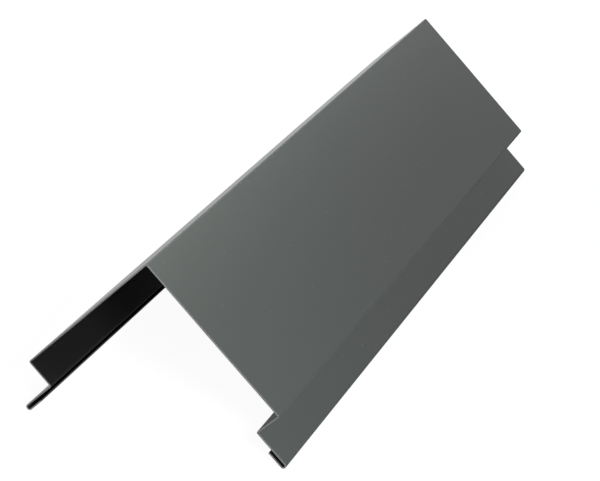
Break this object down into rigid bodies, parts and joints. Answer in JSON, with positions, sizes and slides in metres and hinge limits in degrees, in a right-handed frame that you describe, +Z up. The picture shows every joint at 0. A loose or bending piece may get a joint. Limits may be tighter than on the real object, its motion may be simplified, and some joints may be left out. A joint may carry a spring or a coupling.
{
  "type": "ridge cap",
  "caption": "Folded coated-steel ridge cap: angled wings, each with a stepped foot and a flange ending in an open hem, to cover a roof ridge.",
  "frame": {"origin": "on the floor under the middle of the ridge line, between the two hems that the cap stands on", "axes": "+Y along the ridge, +X across it to the right wing, +Z up through the ridge"},
  "size_m": [0.1862, 0.51, 0.1241],
  "materials": {
    "coated_steel": "satin grey coil coat outside, near-black coat inside, bare galvanised cut edges"
  },
  "bodies": {
    "root": {"ridge_cap": "coated_steel"}
  },
  "joints": []
}
